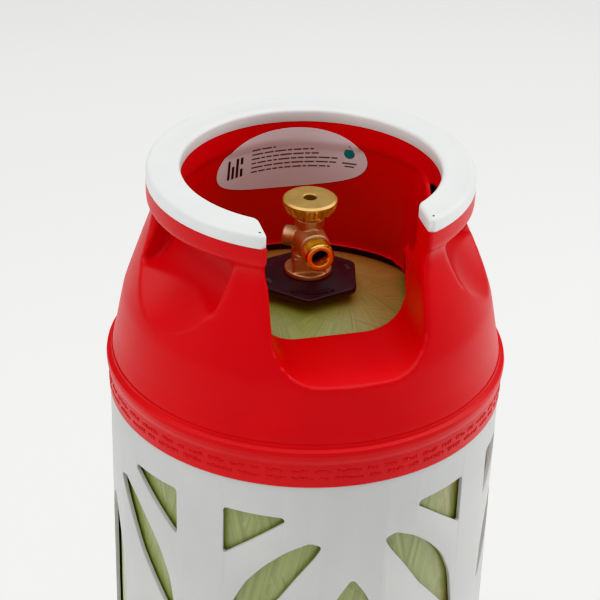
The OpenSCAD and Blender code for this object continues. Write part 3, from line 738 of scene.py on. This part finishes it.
def vesselSkin(inset):
    radius = vesselR - inset
    rise = vessel["domeH"] - inset
    upZ = crownZ - vessel["domeH"]
    lowZ = vesselFoot + vessel["domeH"]
    start = math.acos(vessel["neckR"] / radius)
    shares = [i / vessel["steps"] for i in range(vessel["steps"] + 1)]
    upper = [(radius * math.cos(start * (1 - s)), upZ + rise * math.sin(start * (1 - s))) for s in shares]
    middle = [(radius, upZ - 40 * i) for i in range(1, 6)]
    lower = [(radius * math.cos(math.pi / 2 * s), lowZ - rise * math.sin(math.pi / 2 * s)) for s in shares]
    return upper + middle + lower


def makeVessel():
    outer = vesselSkin(0)
    inner = vesselSkin(vessel["winding"])
    return asObject(lathe(outer + inner[::-1], 240, closed=True), "vessel_winding")


vesselPiece = makeVessel()
softEdges(vesselPiece, 40)
finishPiece(vesselPiece, "tank", "glass_fibre", glassFibre, "composite_shell")


plate = {"across": 72, "corner": 8, "thick": 5, "turn": 16, "hub": 25, "dome": 3.2, "boreR": 16.6,
         "edge": 1.1, "topZ": flangeZ - 3}


def makePlate():
    top = plate["topZ"]
    reach = plate["across"] / math.sqrt(3)
    turns = [math.radians(60 * i + plate["turn"]) for i in range(6)]
    corners = [(reach * math.cos(a), reach * math.sin(a), plate["corner"]) for a in turns]
    bm = prism(rounded(corners, steps=6), top - plate["thick"], top)
    roundOff(bm, {e for f in bm.faces if abs(f.normal.z) > 0.9 for e in f.edges}, plate["edge"], 3)
    obj = asObject(bm, "neck_plate_moulding")
    inner = plate["boreR"]
    outer = plate["across"] / 2 - 1.5
    crown = rounded([(inner, top - 4, 0), (outer, top - 4, 0), (outer, top, 0), (29, top + 0.9, 20),
                     (20, top + plate["dome"], 2), (inner, top + plate["dome"], 0)], steps=6)
    combine(obj, lathe(crown, 120, closed=True), "UNION")
    foot = nodeBox("neck_plate")[0].z
    hub = [(0, foot), (plate["hub"], foot), (plate["hub"], top - 1), (0, top - 1)]
    combine(obj, lathe(hub, 96), "UNION")
    return combine(obj, lathe([(0, foot - 5), (inner, foot - 5), (inner, top + 9), (0, top + 9)], 96))


def plateMarks():  # rows of small raised bars near the front edge
    pick = random.Random(3)
    bm = bmesh.new()
    for radius, first, last in ((31.5, -128, -66), (28.2, -124, -70), (25.2, -120, -74)):
        angle = first
        while angle < last:
            width = pick.choice((0.7, 1.1, 1.5))
            lift = 0.1 + (plate["across"] / 2 - radius) * 0.1
            place = turned(angle, radius, 0, plate["topZ"] + lift)
            bmesh.ops.create_cube(bm, size=mm, matrix=place @ Matrix.Diagonal((1.7, width, 0.7, 1)))
            angle += (width + 0.8) / radius * 57.3 + (2.5 if pick.random() < 0.15 else 0)
    return bm


def plateGrids():
    bm = bmesh.new()
    for angle in (6, 190):
        for row in range(3):
            for column in range(4):
                place = turned(angle, 29.5 + 1.5 * row, (column - 1.5) * 1.9, plate["topZ"] + 0.45)
                bmesh.ops.create_cube(bm, size=mm, matrix=place @ Matrix.Diagonal((0.9, 1.2, 0.5, 1)))
    return bm


platePiece = makePlate()
softEdges(platePiece, 38)
finishPiece(platePiece, "tank", "black_nylon", blackNylon, "neck_plate")
plateMarksPiece = asObject(plateMarks(), "neck_plate_marks", smooth=False)
finishPiece(plateMarksPiece, "tank", "black_nylon", blackNylon)
plateGridsPiece = asObject(plateGrids(), "neck_plate_grids", smooth=False)
finishPiece(plateGridsPiece, "tank", "label_film", greyInk)


valve = {"flangeR": 17.9, "flangeT": 4, "stemR": 12.7, "stemL": 24, "block": 24, "blockH": 12,
         "blockTurn": 80, "columnR": 9, "collarR": 11.2, "collarH": 6.5, "bodyH": 46, "outletZ": 27.5,
         "outletR": 10.9, "outletReach": 33, "spigot": 13, "mouthR": 6.5, "passageR": 3.2, "boreR": 6,
         "glandR": 9.05, "glandL": 4, "reliefAngle": 150, "reliefZ": 27, "reliefR": 7.8, "reliefReach": 20,
         "reliefBoreR": 5, "reliefSeat": 10.4, "drillR": 1.8, "drillFrom": 8.2, "seatDrop": 6.5,
         "pitch": 1.8, "voxel": 0.5}


def onAxis(angle, height):  # turns a shape's Z to point outwards at this angle, at this height
    return turned(angle, 0, 0, flangeZ + height) @ tipped("Y")


def castShape():
    v = valve
    z = flangeZ
    blockTop = v["flangeT"] + v["blockH"]
    collarLow = v["bodyH"] - v["collarH"]
    column = rounded([
        (0, 0, 0), (v["flangeR"], 0, 0.8), (v["flangeR"], v["flangeT"], 1.2),
        (v["columnR"] + 3, v["flangeT"] + 0.2, 2), (v["columnR"] + 0.7, 12, 4), (v["columnR"] + 0.2, 30, 4),
        (v["columnR"], collarLow - 2.5, 1.5), (v["collarR"], collarLow, 1.2),
        (v["collarR"], v["bodyH"], 1.2), (0, v["bodyH"], 0)], closed=False)
    obj = asObject(lathe([(r, z + h) for r, h in column], 128), "valve_body_casting")
    block = bmesh.new()
    bmesh.ops.create_cube(block, size=mm, matrix=turned(v["blockTurn"], 0, 0, z + blockTop / 2 + 0.5)
                          @ Matrix.Diagonal((v["block"], v["block"], blockTop - 1, 1)))
    combine(obj, block, "UNION")
    shoulder = [(0, blockTop - 1), (v["block"] / 2 - 0.1, blockTop - 1), (v["columnR"] + 0.4, blockTop + 5),
                (0, blockTop + 5)]
    combine(obj, lathe([(r, z + h) for r, h in shoulder], 96), "UNION")
    root = v["outletReach"] - v["spigot"]
    boss = rounded([(0, 0, 0), (v["outletR"] + 1.4, 0, 0), (v["outletR"] + 1.1, root - 1, 1),
                    (v["outletR"] - 1, root, 1), (0, root, 0)], closed=False)
    combine(obj, moved(lathe(boss, 96), onAxis(-90, v["outletZ"])), "UNION")
    relief = rounded([(0, 0, 0), (v["reliefR"], 0, 0), (v["reliefR"], v["reliefReach"], 2.6),
                      (0, v["reliefReach"], 0)], closed=False)
    combine(obj, moved(lathe(relief, 96), onAxis(v["reliefAngle"], v["reliefZ"])), "UNION")
    remesh(obj, v["voxel"])
    return soften(obj, 5)


def valveBores(obj):
    v = valve
    z = flangeZ
    low = z - 5
    seat = z + v["outletZ"] - v["seatDrop"]
    gland = z + v["bodyH"] - v["glandL"]
    high = z + v["bodyH"] + 5
    combine(obj, lathe([(0, low), (v["passageR"], low), (v["passageR"], seat), (v["boreR"], seat),
                        (v["boreR"], gland), (v["glandR"], gland), (v["glandR"], high), (0, high)], 96))
    side = [(0, 0), (v["passageR"], 0), (v["passageR"], v["outletReach"] + 1), (0, v["outletReach"] + 1)]
    combine(obj, moved(lathe(side, 64), onAxis(-90, v["outletZ"])))
    end = v["reliefReach"] + 1
    relief = [(0, v["drillFrom"]), (v["drillR"], v["drillFrom"]), (v["drillR"], v["reliefSeat"]),
              (v["reliefBoreR"], v["reliefSeat"]), (v["reliefBoreR"], end), (0, end)]
    return combine(obj, moved(lathe(relief, 72), onAxis(v["reliefAngle"], v["reliefZ"])))


def stemShape():  # stem under the flange with ridges for its thread, hidden in the neck boss
    v = valve
    rootR = v["stemR"] - 0.9
    outline = [(v["passageR"], 0.4), (v["stemR"], 0.4)]
    for i in range(int((v["stemL"] - 2) / v["pitch"])):
        low = -1.2 - v["pitch"] * i
        outline += [(v["stemR"], low), (v["stemR"], low - 0.5), (rootR, low - 0.9), (rootR, low - 1.3)]
    outline += [(rootR, -v["stemL"]), (v["passageR"], -v["stemL"])]
    return lathe([(r, flangeZ + h) for r, h in outline], 96, closed=True)


def spigotShape():  # turned outlet with ridges for its thread, a lead-in and a conical seat
    v = valve
    end = v["outletReach"]
    root = end - v["spigot"]
    crest = v["outletR"]
    outer = [(crest - 1.1, root - 1.5, 0), (crest - 1.1, root + 1.2, 0)]
    for i in range(int((v["spigot"] - 4) / v["pitch"])):
        low = root + 1.4 + v["pitch"] * i
        outer += [(crest, low + 0.35, 0), (crest, low + 0.85, 0), (crest - 0.95, low + 1.25, 0),
                  (crest - 0.95, low + 1.6, 0)]
    outer += [(crest, end - 2.4, 0), (crest, end - 1, 0.3), (crest - 1.2, end, 0.4)]
    bore = [(v["mouthR"], end, 0.3), (v["passageR"], end - 9, 0), (v["passageR"], root - 1.5, 0)]
    return moved(lathe(rounded(outer + bore, steps=3), 128, closed=True), onAxis(-90, v["outletZ"]))


castPiece = valveBores(castShape())
softEdges(castPiece, 40)
finishPiece(castPiece, "tank", "cast_brass", castBrass, "valve_body")
spigotPiece = asObject(spigotShape(), "outlet_spigot")
softEdges(spigotPiece, 32)
finishPiece(spigotPiece, "tank", "turned_brass", turnedBrass)
stemPiece = asObject(stemShape(), "valve_stem_thread")
softEdges(stemPiece, 32)
finishPiece(stemPiece, "tank", "turned_brass", turnedBrass)


wheel = {"ribs": 18, "footR": 17.8, "rim": 2.5, "taper": 5, "recessR": 5, "recess": 3.4, "boreR": 3.12,
         "depth": 2.8, "steps": 16}


def makeWheel():
    h = wheelTop - wheelZ
    recessZ = h - wheel["recess"]
    levels = rounded([
        (wheel["boreR"], 0, 0), (wheel["footR"] - 1.2, 0, 0.8), (wheel["footR"], 1.4, 1),
        (wheelR, h - wheel["taper"], 5), (wheelR, h - 1.5, 0.6), (wheelR - 1.7, h - 0.25, 0.9),
        (wheel["recessR"] + 0.4, h, 0.3), (wheel["recessR"], h - 0.6, 0.3), (wheel["recessR"], recessZ, 0.2),
        (wheel["boreR"], recessZ, 0)], steps=5)
    bm = lathe([(r, wheelZ + z) for r, z in levels], wheel["ribs"] * wheel["steps"], closed=True)
    for i in range(2, 20):  # levels for the ribs to bend at
        cutPlane(bm, (0, 0, wheelZ + 0.5 * i + 0.03), (0, 0, 1), dist=1e-7)
    for vert in bm.verts:
        x, y, z = vert.co / mm
        r = math.hypot(x, y)
        under = wheelTop - wheel["rim"] - z
        if r < wheel["footR"] - 2.5 or under < 0:
            continue
        wave = math.cos(math.atan2(y, x) * wheel["ribs"])  # 1 in the middle of a gap, -1 on a rib
        gap = wheel["depth"] * rampBetween(wave, -0.6, -0.1) * rampBetween(under - 0.5 * (1 - wave), 0, 0.7)
        vert.co.x -= x / r * gap * mm
        vert.co.y -= y / r * gap * mm
    return asObject(bm, "handwheel_casting")


wheelPiece = makeWheel()
softEdges(wheelPiece, 48)
finishPiece(wheelPiece, "handwheel", "turned_brass", blastedBrass, "handwheel")


label = {"width": 130, "high": 54, "thick": 0.3, "glue": 0.25, "middle": 139.8, "angle": 85, "tilt": 2.4,
         "wrapR": 100, "cell": 4, "droop": 1.5}


def wallRadius(z):  # the well's wall behind the label
    foot = railInR + hood["flare"]
    low = skirtZ + hood["backEdge"] - 1
    knee = railLow - hood["ledge"]
    if z > knee:
        return max(railInR, railInR + 2 - (z - knee))
    return foot + (railInR + 2 - foot) * (z - low) / (knee - low)


def bendToWall(bm, proud):  # flat shape in mm (x round the wall, y up) laid on the wall
    for vert in bm.verts:
        x, y, z = vert.co / mm
        height = skirtZ + label["middle"] + y + x * math.sin(math.radians(label["tilt"]))
        r = wallRadius(height) - proud - z
        a = math.radians(label["angle"]) - x / label["wrapR"]
        vert.co = Vector((r * math.cos(a), r * math.sin(a), height)) * mm
    bmesh.ops.recalc_face_normals(bm, faces=bm.faces)
    return bm


def flatShape(outline, thick):  # cut both ways, so that it can bend
    bm = prism(outline, 0, thick)
    low = min(p[0] for p in outline)
    high = max(p[0] for p in outline)
    for i in range(1, int((high - low) / label["cell"]) + 1):
        cutPlane(bm, (low + label["cell"] * i, 0, 0), (1, 0, 0), dist=1e-7)
    for i in range(-7, 8):
        cutPlane(bm, (0, label["cell"] * i - 0.2, 0), (0, 1, 0), dist=1e-7)
    return bm


def labelOutline():  # an oval whose ends droop a little
    points = []
    for i in range(72):
        a = math.tau * i / 72
        x = math.cos(a)
        y = math.sin(a)
        points.append((label["width"] / 2 * 0.99 * math.copysign(abs(x) ** 0.97, x),
                       label["high"] / 2 * math.copysign(abs(y) ** 0.97, y) - label["droop"] * x * x))
    return points


labelPiece = asObject(bendToWall(flatShape(labelOutline(), label["thick"]), label["glue"]), "label_film")
softEdges(labelPiece, 30)
finishPiece(labelPiece, "tank", "label_film", labelFilm, "label")


def bar(x, y, width, tall):
    return [(x, y), (x + width, y), (x + width, y + tall), (x, y + tall)]


def printShapes():
    pick = random.Random(5)
    dark = [bar(-53 + 4 * i, -9.5, 2.2, tall) for i, tall in enumerate((17, 11, 17, 7))]
    dark.append(bar(-41, 1.5, 2.2, 6))
    grey = []
    for line, end in enumerate((35, 20, 24, 40, 38, 33)):
        x = -31
        while x < end:
            width = min(pick.uniform(3, 10), end - x)
            grey.append(bar(x, 10.4 - 3.9 * line, max(width, 1), 1.25))
            x += width + 1.1
    grey += [bar(43, -5.2, 12, 1.3), bar(45, -8, 8, 1.2)]
    turns = [math.radians(60 + 30 * i) for i in range(1, 11)]
    drop = [(49 + 4.6 * math.cos(a), 4.4 + 4.6 * math.sin(a)) for a in turns] + [(49, 13.2)]
    return dark, grey, [drop]


def printPiece(shapes, name, ink):
    bm = bmesh.new()
    for outline in shapes:
        addTo(bm, flatShape(outline, 0.06))
    bendToWall(bm, label["glue"] + label["thick"])
    finishPiece(asObject(bm, name, smooth=False), "tank", "label_film", ink)


darkShapes, greyShapes, tealShapes = printShapes()
printPiece(darkShapes, "label_print_dark", darkInk)
printPiece(greyShapes, "label_print_lines", greyInk)
printPiece(tealShapes, "label_print_drop", tealInk)


plainNodes = {
    "base_pad": nitrileRubber, "liner": naturalPolyethylene, "neck_boss": machinedAluminium,
    "boss_seal": nitrileRubber, "neck_gasket": nitrileRubber, "gland_nut": turnedBrass,
    "gland_seal": nitrileRubber, "relief_cap": turnedBrass, "relief_spring": springSteel,
    "handwheel_nut": oxidisedBrass, "upper_spindle": oxidisedBrass, "slip_washer": naturalPolyethylene,
    "lower_spindle": turnedBrass, "seat_pad": nitrileRubber, "relief_piston": turnedBrass,
    "relief_pad": nitrileRubber}
for name, material in plainNodes.items():
    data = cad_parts[name].data
    data.materials.clear()
    data.materials.append(material)
print("CAD nodes dressed")


stage = {"floor": "#FBFBFA", "glow": 0.15, "world": "#FFFFFF", "worldStrength": 0.42}
cameraAt = {"place": (-331.9, -1201.3, 1186.9), "forward": (0.2274, 0.8369, -0.4979), "roll": -1.68,
            "lens": 113.6, "film": 36}
# each light's place, what it points at, width and height, in metres, and its power in watts
lights = {"left": ((-1.5, 0.0, 1.5), (0, 0, 0.45), (0.8, 1.4), 9),
          "right": ((1.5, 0.0, 1.4), (0, 0, 0.45), (0.9, 1.4), 13),
          "top": ((0.0, -0.4, 2.6), (0, 0, 0.4), (3.0, 3.0), 38)}


def makeFloor():
    bm = bmesh.new()
    bmesh.ops.create_grid(bm, x_segments=1, y_segments=1, size=12)
    floor = asObject(bm, "floor", smooth=False)
    shade = colour(stage["floor"])
    material, shader = startMaterial("pale_floor", {"Base Color": shade, "Roughness": 0.9,
                                                    "Emission Color": shade,
                                                    "Emission Strength": stage["glow"]})
    floor.data.materials.append(material)


def areaLight(name, place, aim, size, power):
    data = bpy.data.lights.new(name, "AREA")
    data.shape = "RECTANGLE"
    data.size, data.size_y = size
    data.energy = power
    lamp = bpy.data.objects.new(name, data)
    lamp.location = place
    lamp.rotation_euler = (Vector(aim) - Vector(place)).to_track_quat("-Z", "Y").to_euler()
    bpy.context.scene.collection.objects.link(lamp)


def makeCamera():
    data = bpy.data.cameras.new("camera")
    data.lens = cameraAt["lens"]
    data.sensor_width = cameraAt["film"]
    data.clip_end = 50
    camera = bpy.data.objects.new("camera", data)
    bpy.context.scene.collection.objects.link(camera)
    forward = Vector(cameraAt["forward"]).normalized()
    right = forward.cross(Vector((0, 0, 1))).normalized()
    up = right.cross(forward)
    c = math.cos(math.radians(cameraAt["roll"]))
    s = math.sin(math.radians(cameraAt["roll"]))
    across = c * right - s * up
    above = s * right + c * up
    rows = [(across[i], above[i], -forward[i]) for i in range(3)]
    camera.matrix_world = Matrix.Translation(Vector(cameraAt["place"]) * mm) @ Matrix(rows).to_4x4()
    bpy.context.scene.camera = camera


makeFloor()
bpy.context.scene.view_settings.view_transform = "Khronos PBR Neutral"  # keeps the red as strong as it is
world = bpy.data.worlds.new("studio")
world.use_nodes = True
sky = world.node_tree.nodes["Background"]
sky.inputs["Color"].default_value = colour(stage["world"])
sky.inputs["Strength"].default_value = stage["worldStrength"]
bpy.context.scene.world = world
for name, settings in lights.items():
    areaLight(name, *settings)
makeCamera()
